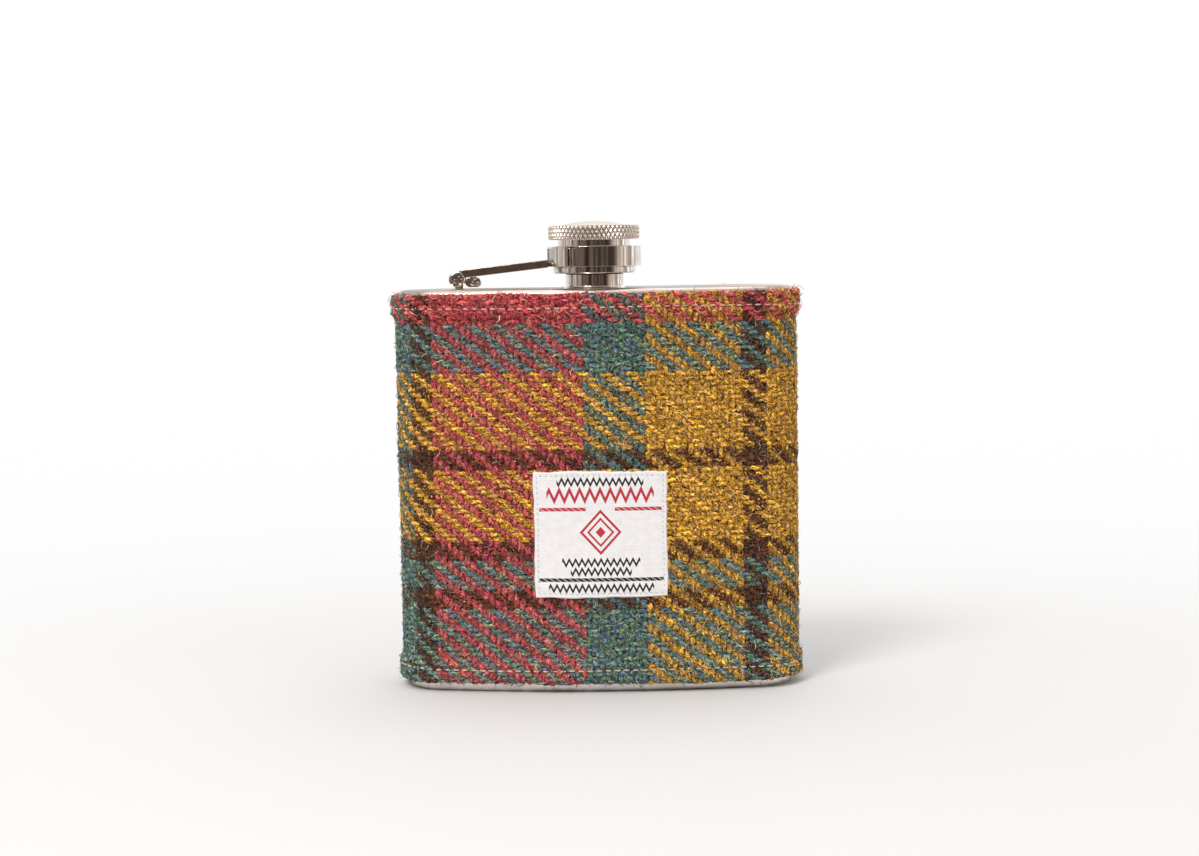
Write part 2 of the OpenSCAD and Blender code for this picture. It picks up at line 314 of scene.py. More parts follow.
def fuzz_finish():
    """Loose fibres keep the colour of the yarn that they grow from; some are paled toward cream and some
    are dark, partly real pale fibres and partly painted highlight where fibres catch the light.
    """
    f = Finish("wool_fuzz", Roughness=0.75, Sheen_Weight=0.1)
    f.shader.inputs["Specular IOR Level"].default_value = 0.2
    weave = f.attribute("weave")
    colour = tweed_colour(f, weave)[0]
    chance = f.add("TexWhiteNoise", {"noise_dimensions": "3D"}, Vector=f.scaled(weave, (37.0, 41.0, 1.0)))
    # Some fibres paled toward cream: partly pale fibres, partly painted highlight.
    colour = f.mix(f.band(chance, 0.64, 0.74, 0.0, 0.58), colour, (0.78, 0.61, 0.44))
    # tone_and_glint: each fibre lighter or darker at random, the lightest as painted glint.
    tone_and_glint = f.band((chance * 7.31).fract(), 0.15, 0.85, 0.22, 2.2)
    f.put("Base Color", f.shaded(colour, tone_and_glint))
    return f.material


# ---------------------------------------------------------------- other finishes
def thread_finish(name, colour):
    f = Finish(name, Roughness=0.6, Sheen_Weight=0.15)
    plies = f.noise(f.object_place(), 2600.0, 2.0)
    f.put("Base Color", f.shaded(colour, f.band(plies, 0.3, 0.7, 0.72, 1.15)))
    f.bump(plies, 0.4, 0.06 * MM)
    return f.material


def satin_steel(name, bright, dull):
    """Drawn sheet, brushed lengthwise, with faint smears from handling."""
    f = Finish(name, Metallic=1.0)
    place = f.object_place()
    grain = f.noise(f.scaled(place, (260.0, 5200.0, 5200.0)), 1.0, 3.0, 0.6)
    smear = f.noise(place, 90.0, 3.0, 0.55)
    f.put("Base Color", f.mix(f.band(smear, 0.35, 0.7), bright, dull))
    f.put("Roughness", f.band(smear, 0.3, 0.7, 0.24, 0.36) + (grain - 0.5) * 0.16)
    f.bump(grain, 0.10, 0.03 * MM)
    return f.material


def polished_steel(name="polished_steel", bright=(0.74, 0.70, 0.665), dull=(0.60, 0.55, 0.51), dents=0.0):
    """Turned and buffed: fine marks round the axis and faint smears; struck ends also have dents."""
    f = Finish(name, Metallic=1.0)
    place = f.object_place()
    turning = f.noise(f.scaled(place, (500.0, 500.0, 9000.0)), 1.0, 2.0)
    smear = f.noise(place, 240.0, 3.0, 0.6)
    f.put("Base Color", f.mix(f.band(smear, 0.4, 0.72), bright, dull))
    f.put("Roughness", f.band(smear, 0.35, 0.75, 0.07, 0.17) + (turning - 0.5) * 0.06)
    if dents:
        f.bump(f.noise(place, 900.0, 1.0), 1.0, dents)
    else:
        f.bump(turning, 0.05, 0.02 * MM)
    return f.material


def knurled_steel():
    """Rim in the steel's colour on its ridges, with painted shade darkening its grooves; the dome is turned
    on a lathe.
    """
    f = Finish("knurled_steel", Metallic=1.0)
    place = f.object_place()
    depth, _, _ = f.split(f.attribute("groove"))
    speck = f.noise(place, 1500.0, 3.0, 0.6)
    colour = f.mix(f.band(speck, 0.35, 0.7), (0.95, 0.87, 0.79), (0.84, 0.75, 0.66))
    # Painted shade: the deeper the groove, the darker the colour.
    f.put("Base Color", f.mix(f.band(depth, 0.25, 0.95), colour, (0.46, 0.38, 0.31)))
    f.put("Roughness", f.band(speck, 0.3, 0.7, 0.30, 0.42))
    f.bump(speck, 0.12, 0.02 * MM)
    return f.material


def cloudy(name, scale, first, second, **constants):
    """A plain soft material with a faint cloud in its colour."""
    f = Finish(name, **constants)
    f.put("Base Color", f.mix(f.noise(f.object_place(), scale, 2.0), first, second))
    return f.material


def label_finish():
    """White damask with fine picks, painted shade between its threads, and a woven pattern of zigzags,
    rules and one lozenge.
    """
    f = Finish("woven_label", Roughness=0.55, Sheen_Weight=0.15)
    f.shader.inputs["Specular IOR Level"].default_value = 0.3
    x, z, _ = f.split(f.attribute("label"))
    picks = ((z * 2.3).fract() * 2 - 1).abs()
    ends = ((x * 2.6 + (z * 2.3).floor() * 0.5).fract() * 2 - 1).abs()
    weave = picks * 0.6 + ends * 0.4
    cloud = f.noise(f.join(x, z), 0.5, 3.0)
    white = f.mix(f.band(cloud, 0.35, 0.7), (0.94, 0.93, 0.945), (0.88, 0.87, 0.885))
    ragged = (f.noise(f.join(x * 3.0, z * 4.6), 1.0, 1.0) - 0.5) * 0.16

    def line(distance, thickness):
        return f.band(distance + ragged, thickness + 0.06, thickness - 0.06)

    def zigzag(height, half_width, tooth, swing, thickness):
        wave = ((x / tooth).fract() * 2 - 1).abs() * swing - swing / 2
        inside = x.abs() < half_width
        return line((z - height - wave).abs(), thickness) * inside

    def rule(height, near, far, thickness):
        twist = ((x / 1.5 + z * 1.1).fract() * 2 - 1).abs()
        inside = (x.abs() > near) * (x.abs() < far)
        return line((z - height).abs(), thickness) * inside * f.band(twist, 0.05, 0.22, 0.0, 1.0)

    lozenge = x.abs() * 1.1 + (z - 0.6).abs()
    red = line((lozenge - 5.0).abs(), 0.42)
    red = red.max(line((lozenge - 3.2).abs(), 0.34)).max(line(lozenge, 1.3))
    red = red.max(rule(6.1, 3.4, 14.4, 0.42)).max(zigzag(9.4, 12.6, 2.4, 2.7, 0.76))
    black = rule(-10.7, -1.0, 14.6, 0.42)
    for height, half_width in ((12.5, 10.2), (-6.6, 9.2), (-8.8, 7.2), (-12.7, 12.4)):
        black = black.max(zigzag(height, half_width, 1.5, 1.5, 0.48))
    colour = f.mix(red, white, (0.56, 0.030, 0.055))
    colour = f.mix(black, colour, (0.022, 0.018, 0.018))
    to_edge = (label_w / 2 / MM - x.abs()).min(label_h / 2 / MM - z.abs())
    pricks = line((to_edge - LABEL_SEAM / MM).abs(), 0.16) * (((x + z) / 1.25).fract() < 0.22)
    colour = f.mix(pricks * 0.55, colour, (0.20, 0.19, 0.19))
    # Painted shade: darker along the edges of each pick and end, lighter at their middles.
    f.put("Base Color", f.shaded(colour, f.band(weave, 0.1, 0.9, 1.03, 0.86)))
    f.bump(weave * -1.0 + red * 0.7 + black * 0.7, 0.55, 0.07 * MM)
    return f.material


# ---------------------------------------------------------------- mesh kit
def smoothed(piece, crease=180.0):
    """Shades a piece smoothly, but keeps its edges sharp where they turn by more than crease degrees."""
    piece.data.polygons.foreach_set("use_smooth", [True] * len(piece.data.polygons))
    if crease < 180.0:
        piece.data.set_sharp_from_angle(angle=math.radians(crease))
    return piece


def settle(piece, body, finish, replaced=()):
    """Gives a finished piece its material, its body and what it stands for."""
    piece.data.materials.clear()
    piece.data.materials.append(finish)
    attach(piece, body)
    if replaced:
        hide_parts(*replaced)
    return piece


def new_piece(name, mesh):
    piece = bpy.data.objects.new(name, mesh)
    bpy.context.scene.collection.objects.link(piece)
    return piece


def grid_piece(name, points, wrap=False, **attributes):
    """A piece from rows and columns of points. With wrap, the last column joins the first."""
    rows, columns = points.shape[:2]
    index = np.arange(rows * columns).reshape(rows, columns)
    if wrap:
        index = np.concatenate([index, index[:, :1]], axis=1)
    corners = [index[:-1, :-1], index[:-1, 1:], index[1:, 1:], index[1:, :-1]]
    quads = np.stack(corners, axis=-1).reshape(-1, 4)
    mesh = bpy.data.meshes.new(name)
    mesh.vertices.add(rows * columns)
    mesh.vertices.foreach_set("co", points.reshape(-1).astype(np.float32))
    mesh.loops.add(quads.size)
    mesh.loops.foreach_set("vertex_index", quads.reshape(-1).astype(np.int32))
    mesh.polygons.add(len(quads))
    mesh.polygons.foreach_set("loop_start", np.arange(0, quads.size, 4, dtype=np.int32))
    mesh.update(calc_edges=True)
    for key, values in attributes.items():
        made = mesh.attributes.new(key, "FLOAT_VECTOR", "POINT")
        made.data.foreach_set("vector", values.reshape(-1).astype(np.float32))
    mesh.validate()
    return new_piece(name, mesh)


def three(values):
    """A number at each point as a vector, which is what a finish can read."""
    return np.stack([values, 0.0 * values, 0.0 * values], axis=-1)


def baked(piece):
    """Applies a piece's modifiers, so that a plain mesh is left."""
    graph = bpy.context.evaluated_depsgraph_get()
    mesh = bpy.data.meshes.new_from_object(piece.evaluated_get(graph), depsgraph=graph)
    old, piece.data = piece.data, mesh
    piece.modifiers.clear()
    bpy.data.meshes.remove(old)
    return piece


def machined(node, body, finish, name, bevel=0.08 * MM, crease=30.0, segments=2):
    """A clean copy of a CAD node: its flats joined, its edges broken by a bevel, its curves smooth."""
    work = bmesh.new()
    work.from_mesh(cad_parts[node].data)
    bmesh.ops.remove_doubles(work, verts=work.verts, dist=0.001 * MM)
    bmesh.ops.dissolve_limit(work, angle_limit=math.radians(1.0), verts=work.verts, edges=work.edges)
    mesh = bpy.data.meshes.new(name)
    work.to_mesh(mesh)
    work.free()
    piece = new_piece(name, mesh)
    if bevel:
        edge = piece.modifiers.new("edge", "BEVEL")
        edge.width, edge.segments = bevel, segments
        edge.limit_method, edge.angle_limit = "ANGLE", math.radians(crease)
        edge.use_clamp_overlap = True
        baked(piece)
    smoothed(piece, crease)
    if bevel:
        even = piece.modifiers.new("even", "WEIGHTED_NORMAL")
        even.weight, even.keep_sharp = 100, True
        baked(piece)
    return settle(piece, body, finish, [node])


def lattice_noise(x, y, cell_x, cell_y, seed, period=None):
    """Smooth random values from -1 to 1 over a plane; period, in cells, makes x come round."""
    random = np.random.default_rng(seed)
    across = period or 4096
    table = random.uniform(-1.0, 1.0, (across, 1024))
    gx, gy = x / cell_x, y / cell_y + 64
    ix, iy = np.floor(gx).astype(int), np.floor(gy).astype(int)
    fx, fy = gx - ix, gy - iy
    fx, fy = fx * fx * (3 - 2 * fx), fy * fy * (3 - 2 * fy)

    def at(i, j):
        return table[i % across, j % 1024]

    low = at(ix, iy) * (1 - fx) + at(ix + 1, iy) * fx
    high = at(ix, iy + 1) * (1 - fx) + at(ix + 1, iy + 1) * fx
    return low * (1 - fy) + high * fy


def smooth_step(value, low, high):
    t = np.clip((value - low) / (high - low), 0.0, 1.0)
    return t * t * (3 - 2 * t)


# ---------------------------------------------------------------- plan of the flask
class Plan:
    """The flask's outline from above: two arcs about one centre, joined by round ends."""

    def __init__(self):
        low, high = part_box("body_shell")
        neck_low, neck_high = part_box("neck_tube")
        self.axis_y = (neck_low.y + neck_high.y) / 2
        self.metal = self.axis_y - low.y
        reach = high.x - self.metal
        sag = (high.y - low.y) - 2 * self.metal
        self.curve = (reach**2 + sag**2) / (2 * sag)
        self.angle = math.asin(reach / self.curve)
        self.hem = self.axis_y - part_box("tweed_sleeve")[0].y
        self.cloth = self.hem - HEM_BULGE
        self.front = (self.curve + self.cloth) * self.angle
        self.side = self.front + math.pi * self.cloth
        self.half = self.side + (self.curve - self.cloth) * self.angle

    def at(self, s, h):
        """Points and outward directions at arc length s from the front's middle, half thickness h."""
        t, sign = np.abs(s), np.where(s < 0, -1.0, 1.0)
        on_front, on_end = t < self.front, (t >= self.front) & (t < self.side)
        turn = np.where(on_front, t / (self.curve + self.cloth),
                        self.angle - (t - self.side) / (self.curve - self.cloth))
        out = np.where(on_front, 1.0, -1.0)
        radius = self.curve + out * h
        x, y = radius * np.sin(turn), self.curve - radius * np.cos(turn)
        nx, ny = out * np.sin(turn), -out * np.cos(turn)
        end_turn = self.angle + (t - self.front) / self.cloth
        end_x = self.curve * math.sin(self.angle) + h * np.sin(end_turn)
        end_y = self.curve * (1 - math.cos(self.angle)) - h * np.cos(end_turn)
        x, y = np.where(on_end, end_x, x), np.where(on_end, end_y, y)
        nx = np.where(on_end, np.sin(end_turn), nx)
        ny = np.where(on_end, -np.cos(end_turn), ny)
        return sign * x, y + self.axis_y, sign * nx, ny


plan = Plan()
sleeve_low, sleeve_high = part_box("tweed_sleeve")
label_low, label_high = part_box("woven_label")
label_w, label_h = label_high.x - label_low.x, label_high.z - label_low.z
label_x, label_z = (label_low.x + label_high.x) / 2, (label_low.z + label_high.z) / 2
EDGE_R = (plan.hem - plan.metal - 0.17 * MM) / 2  # of the fold at each hem, clear of the steel


# ---------------------------------------------------------------- tweed sleeve
def sleeve_profile(step):
    """Half thickness, height, lift direction and distance along the cloth, from inside the lower hem
    round its fold, up the face and round the upper fold to the inside."""
    tuck = 1.2 * MM
    face = sleeve_high.z - sleeve_low.z - 2 * EDGE_R
    fold = math.pi * EDGE_R
    total = 2 * (tuck + fold) + face
    d = np.linspace(0.0, total, int(total / step) + 1)
    low, high = sleeve_low.z + EDGE_R, sleeve_high.z - EDGE_R
    middle = plan.hem - EDGE_R
    h, z, out, up = (np.zeros_like(d) for _ in range(4))
    a, b, c, e = tuck, tuck + fold, tuck + fold + face, tuck + 2 * fold + face
    inside = d < a
    h[inside], z[inside], out[inside] = middle - EDGE_R, low + a - d[inside], -1.0
    lower = (d >= a) & (d < b)
    turn = (d[lower] - a) / EDGE_R
    h[lower], z[lower] = middle - EDGE_R * np.cos(turn), low - EDGE_R * np.sin(turn)
    out[lower], up[lower] = -np.cos(turn), -np.sin(turn)
    flat = (d >= b) & (d < c)
    z[flat], out[flat] = low + d[flat] - b, 1.0
    bulge = 1 - smooth_step(z[flat], low + HEM_HEIGHT - EDGE_R, low + HEM_HEIGHT + EDGE_R)
    bulge += smooth_step(z[flat], high - HEM_HEIGHT - EDGE_R, high - HEM_HEIGHT + EDGE_R)
    h[flat] = plan.cloth + HEM_BULGE * bulge
    upper = (d >= c) & (d < e)
    turn = (d[upper] - c) / EDGE_R
    h[upper], z[upper] = middle + EDGE_R * np.cos(turn), high + EDGE_R * np.sin(turn)
    out[upper], up[upper] = np.cos(turn), np.sin(turn)
    tucked = d >= e
    h[tucked], z[tucked], out[tucked] = middle - EDGE_R, high - (d[tucked] - e), -1.0
    return h, z, out, up, d - b + low


def weave_relief(u, v):
    """The same 2/2 twill as the finish, in millimetres."""
    column, row = np.floor(u), np.floor(v)
    warp = FLOAT_LIFT * np.cos((column + v - 1) * TWILL_TURN)
    weft = -FLOAT_LIFT * np.cos((u + row - 1) * TWILL_TURN)
    warp += YARN_ROUND * np.sqrt(np.clip(1 - (2 * (u - column) - 1) ** 2, 0, 1))
    weft += YARN_ROUND * np.sqrt(np.clip(1 - (2 * (v - row) - 1) ** 2, 0, 1))
    return np.maximum(warp, weft)


def sleeve_surface(s, relief=1.0, step=CELL):
    """Points and weave coordinates of the sleeve over the arc lengths s."""
    h, z, out, up, along = sleeve_profile(step)
    s = s[None, :] + 0.0 * h[:, None]
    h, z, out, up, along = (a[:, None] + 0.0 * s for a in (h, z, out, up, along))
    cells = 24
    round_cell = 2 * plan.half / cells
    u = s / WARP_PITCH + 0.16 * lattice_noise(s, along, round_cell / 4, 9 * MM, 3, cells * 4)
    v = (along - sleeve_high.z + TEAL_STARTS_BELOW) / WEFT_PITCH
    v += 0.20 * lattice_noise(s, along, round_cell / 3, 7 * MM, 5, cells * 3)
    u += 0.15 * lattice_noise(s, along, round_cell / 24, 1.5 * MM, 27, cells * 24)
    v += 0.15 * lattice_noise(s, along, round_cell / 30, 1.7 * MM, 29, cells * 30)
    facing = np.clip(out, 0.0, 1.0)
    shown = facing + np.abs(up)
    swell = 0.10 * MM * lattice_noise(s, along, round_cell, 11 * MM, 7, cells)
    swell += 0.05 * MM * lattice_noise(s, along, round_cell / 12, 0.9 * MM, 9, cells * 12)
    edge = np.maximum(smooth_step(z, sleeve_high.z - 5 * MM, sleeve_high.z),
                      1 - smooth_step(z, sleeve_low.z, sleeve_low.z + 5 * MM))
    z = z + edge * 0.22 * MM * lattice_noise(s, 0 * s, round_cell / 2, 1.0, 11, cells * 2)
    slub = 1.0 + 0.22 * lattice_noise(s, along, round_cell / 24, 2.6 * MM, 17, cells * 24)
    lift = relief * (weave_relief(u, v) * slub - YARN_ROUND) * MM * np.clip(shown, 0.0, 1.0)
    fluff = 0.05 * MM * lattice_noise(s, along, 0.34 * MM, 0.34 * MM, 13)
    lap = LAP_HALF - np.abs(plan.half - np.abs(s))
    lift = lift + relief * fluff * shown + swell * shown - NAP * facing * np.clip(shown, 0.0, 1.0)
    lift += HEM_BULGE * smooth_step(lap, -0.7 * MM, 0.5 * MM) * facing * (1 - edge)
    inside = np.minimum(label_w / 2 - np.abs(s - label_x), label_h / 2 - np.abs(z - label_z))
    lift -= 0.35 * MM * relief * smooth_step(inside, 0.0, 0.6 * MM)
    for row in (sleeve_high.z - STITCH_INSET, sleeve_low.z + STITCH_INSET):
        pull = np.exp(-((z - row) / (0.55 * MM)) ** 2) * facing
        hole = 0.5 - 0.5 * np.cos(2 * np.pi * s / STITCH_PITCH)
        lift -= pull * (0.16 + 0.22 * hole) * MM
    x, y, _, _ = plan.at(s, h + lift * out)
    points = np.stack([x, y, z + lift * up], axis=-1)
    weave = np.stack([u, v, 0 * u], axis=-1)
    return points, weave


class Grower:
    """A Geometry Nodes tree that takes a geometry and named sizes, and gives a geometry."""

    def __init__(self, name, **sizes):
        self.tree = bpy.data.node_groups.new(name, "GeometryNodeTree")
        sockets = [("Geometry", "Geometry", "INPUT"), *((*pair, "INPUT") for pair in sizes.items())]
        for size, kind, way in (*sockets, ("Geometry", "Geometry", "OUTPUT")):
            self.tree.interface.new_socket(size, in_out=way, socket_type="NodeSocket" + kind)
        self.given = self.node("NodeGroupInput", out=None)

    def node(self, kind, inputs=(), out=0, **settings):
        """Adds a node with its settings and inputs, by name or number, and gives one output or all."""
        item = self.tree.nodes.new(kind)
        for key, value in settings.items():
            setattr(item, key, value)
        for slot, value in dict(inputs).items():
            if isinstance(value, bpy.types.NodeSocket):
                self.tree.links.new(value, item.inputs[slot])
            else:
                item.inputs[slot].default_value = value
        return item.outputs if out is None else item.outputs[out] if len(item.outputs) else item

    def maths(self, operation, a, b):
        return self.node("ShaderNodeMath", {0: a, 1: b}, operation=operation)

    def random(self, low, high, seed):
        return self.node("FunctionNodeRandomValue", {2: low, 3: high, "Seed": seed}, 1, data_type="FLOAT")

    def vectors(self, name):
        return self.node("GeometryNodeInputNamedAttribute", {"Name": name}, data_type="FLOAT_VECTOR")

    def finished(self, geometry, material):
        """Ends the tree with the geometry in its material."""
        painted = self.node("GeometryNodeSetMaterial", {"Geometry": geometry, "Material": material})
        self.node("NodeGroupOutput", {"Geometry": painted})
        return self.tree


def fuzz_tree(finish):
    """Bristles over a surface: bent, tapered fibres that lie low at random turns."""
    g = Grower("wool_fuzz", Density="Float", Length="Float", Thickness="Float", Seed="Int")
    share = g.node("ShaderNodeSeparateXYZ", {0: g.vectors("open")})
    spots = g.node("GeometryNodeDistributePointsOnFaces", {
        "Mesh": g.given["Geometry"], "Density": g.maths("MULTIPLY", g.given["Density"], share),
        "Seed": g.given["Seed"]}, None)
    line = g.node("GeometryNodeCurvePrimitiveLine", {"End": (0.0, 0.0, 1.0)})
    points = g.node("GeometryNodeResampleCurve", {"Curve": line, "Count": 5})
    along = g.node("GeometryNodeSplineParameter", out="Factor")
    square = g.maths("MULTIPLY", along, along)
    bend = g.maths("MULTIPLY", square, -0.45)
    offset = g.node("ShaderNodeCombineXYZ", {"Y": bend, "Z": bend})
    bent = g.node("GeometryNodeSetPosition", {"Geometry": points, "Offset": offset})
    ratio = g.maths("DIVIDE", g.given["Thickness"], g.given["Length"])
    radius = g.maths("MULTIPLY", g.maths("SUBTRACT", 1.05, square), ratio)
    ring = g.node("GeometryNodeCurvePrimitiveCircle", {"Resolution": 3, "Radius": 1.0})
    fibre = g.node("GeometryNodeCurveToMesh", {"Curve": bent, "Profile Curve": ring, "Scale": radius})
    turn = g.node("ShaderNodeCombineXYZ", {"X": g.random(1.0, 1.62, 1), "Z": g.random(0.0, 6.283, 2)})
    rotation = g.node("FunctionNodeEulerToRotation", {"Euler": turn})
    laid = g.node("FunctionNodeRotateRotation", {"Rotation": spots["Rotation"], "Rotate By": rotation},
                  rotation_space="LOCAL")
    full = g.maths("MULTIPLY", g.random(0.45, 1.5, 3), g.given["Length"])
    grown = g.node("GeometryNodeInstanceOnPoints", {
        "Points": spots["Points"], "Instance": fibre, "Rotation": laid, "Scale": full})
    real = g.node("GeometryNodeRealizeInstances", {"Geometry": grown})
    wave = g.node("ShaderNodeTexNoise", {"Scale": 800.0, "Detail": 1.0}, "Color")
    middle = g.node("ShaderNodeVectorMath", {0: wave, 1: (0.5, 0.5, 0.5)}, operation="SUBTRACT")
    curl = g.node("ShaderNodeVectorMath", {0: middle, "Scale": 2.1 * MM}, operation="SCALE")
    curled = g.node("GeometryNodeSetPosition", {"Geometry": real, "Offset": curl})
    return g.finished(curled, finish)


def set_inputs(modifier, **values):
    """Sets a Geometry Nodes modifier's inputs by their sockets' identifiers."""
    for item in modifier.node_group.interface.items_tree:
        if item.in_out == "INPUT" and item.name in values:
            modifier[item.identifier] = values[item.name]


def tweed_sleeve():
    """The sleeve is cut in four panels so that each stays a manageable mesh; neighbouring panels share
    the points along each join, so no join shows."""
    cloth, fuzz = tweed_finish(), fuzz_finish()
    bristles = fuzz_tree(fuzz)
    quarter = plan.half / 2
    names = ["back_left", "front_left", "front_right", "back_right"]
    for number, name in enumerate(names):
        start = (number - 2) * quarter
        s = np.linspace(start, start + quarter, int(quarter / CELL) + 1)
        points, weave = sleeve_surface(s)
        panel = grid_piece("tweed_" + name, points, weave=weave)
        settle(smoothed(panel), "flask", cloth, ["tweed_sleeve"])
        coarse = np.linspace(start, start + quarter, 80)
        base, base_weave = sleeve_surface(coarse, relief=0.0, step=0.8 * MM)
        x, y, z = np.moveaxis(base, -1, 0)
        under = ((x > label_low.x - FUZZ_GAP) & (x < label_high.x + FUZZ_GAP) & (y < 0.0)
                 & (z > label_low.z - FUZZ_GAP) & (z < label_high.z + FUZZ_GAP))
        hairs = grid_piece("fuzz_" + name, base, weave=base_weave, open=three(1.0 - under))
        grow = hairs.modifiers.new("fuzz", "NODES")
        grow.node_group = bristles
        set_inputs(grow, Density=1.42e6, Length=2.7 * MM, Thickness=0.050 * MM, Seed=number + 5)
        baked(hairs)
        settle(smoothed(hairs), "flask", fuzz)


# ---------------------------------------------------------------- stitches
def stitch_mesh(length, thickness):
    """One stitch: a two-ply thread that arches up out of the cloth and dives back in."""
    rings, sides = 9, 6
    t = np.linspace(-1.0, 1.0, rings)
    around = np.arange(sides) * 2 * np.pi / sides
    lift = thickness * (0.62 - 1.15 * np.abs(t) ** 3)
    swell = np.sqrt(np.clip(1.02 - np.abs(t) ** 6, 0.08, 1.0))
    points = []
    for step, high, wide in zip(t, lift, swell):
        lobes = 1 + 0.16 * np.cos(2 * (around - 5.0 * step))
        r = thickness / 2 * wide * lobes
        points += [(step * length / 2, a, b + high) for a, b in zip(r * np.cos(around), r * np.sin(around))]
    faces = []
    for i in range(rings - 1):
        for j in range(sides):
            here, there = i * sides + j, i * sides + (j + 1) % sides
            faces.append((here, there, there + sides, here + sides))
    faces += [tuple(range(sides))[::-1], tuple((rings - 1) * sides + j for j in range(sides))]
    mesh = bpy.data.meshes.new("stitch")
    mesh.from_pydata(points, [], faces)
    return mesh


def stitch_tree(name, stitch, finish):
    """Copies of one stitch on a line of points, along each point's own direction."""
    g = Grower(name, Size="Float")
    turned_to = g.node("FunctionNodeAxesToRotation", {0: g.vectors("along"), 1: g.vectors("outward")},
                       primary_axis="X", secondary_axis="Z")
    source = g.node("GeometryNodeObjectInfo", {"Object": stitch}, "Geometry")
    copies = g.node("GeometryNodeInstanceOnPoints", {
        "Points": g.given["Geometry"], "Instance": source, "Rotation": turned_to, "Scale": g.given["Size"]})
    return g.finished(g.node("GeometryNodeRealizeInstances", {"Geometry": copies}), finish)


def stitch_row(name, points, along, outward, length, thickness, finish, replaced):
    """A row of separate stitches at the given points."""
    mesh = bpy.data.meshes.new(name)
    mesh.from_pydata([tuple(p) for p in points], [], [])
    for key, values in (("along", along), ("outward", outward)):
        made = mesh.attributes.new(key, "FLOAT_VECTOR", "POINT")
        made.data.foreach_set("vector", np.asarray(values, np.float32).reshape(-1))
    piece = new_piece(name, mesh)
    stitch = bpy.data.objects.new("stitch", stitch_mesh(length, thickness))
    rows = piece.modifiers.new("stitches", "NODES")
    rows.node_group = stitch_tree(name, stitch, finish)
    set_inputs(rows, Size=1.0)
    baked(piece)
    bpy.data.objects.remove(stitch)
    return settle(smoothed(piece), "flask", finish, replaced)


def hem_row(name, z, seed, finish, replaced):
    """Stitches right round a hem, each a little uneven, as a machine leaves them in thick cloth."""
    count = int(2 * plan.half / STITCH_PITCH)
    random = np.random.default_rng(seed)
    s = (np.arange(count) + 0.5) * 2 * plan.half / count - plan.half
    s = s + random.uniform(-0.08, 0.08, count) * MM
    height = z + 0.10 * MM * np.sin(s * 90.0) + random.uniform(-0.06, 0.06, count) * MM
    x, y, nx, ny = plan.at(s, np.full(count, plan.hem - NAP - 0.24 * MM))
    slant = random.uniform(-0.10, 0.02, count)
    points = np.stack([x, y, height], axis=-1)
    along = np.stack([-ny, nx, slant], axis=-1)
    outward = np.stack([nx, ny, 0 * nx], axis=-1)
    return stitch_row(name, points, along, outward, STITCH_LENGTH, THREAD, finish, replaced)


def lap_rows(finish):
    """Two upright rows that close the lap down the back."""
    rows, low, high = [], sleeve_low.z + HEM_HEIGHT + 1 * MM, sleeve_high.z - HEM_HEIGHT - 1 * MM
    z = np.arange(low, high, STITCH_PITCH)
    for side in (-1, 1):
        s = np.full_like(z, side * (plan.half - 3.0 * MM))
        x, y, nx, ny = plan.at(s, np.full_like(z, plan.hem - NAP - 0.16 * MM))
        rows.append((np.stack([x, y, z], -1), np.stack([nx, ny, 0 * nx], -1)))
    points, outward = (np.concatenate(part) for part in zip(*rows))
    along = np.tile((0.02, 0.0, 1.0), (len(points), 1))
    return stitch_row("lap_stitches", points, along, outward, STITCH_LENGTH, THREAD,
                      finish, ["lap_stitching"])


# ---------------------------------------------------------------- label
def label_place(x, z, proud):
    """A point over the cloth's front at width x from the label's middle and height z."""
    s = (x + label_x) / math.sin(plan.angle) * plan.angle
    px, py, nx, ny = plan.at(s, plan.cloth - NAP + proud)
    return np.stack([px, py, z], axis=-1), np.stack([nx, ny, 0 * nx], axis=-1)


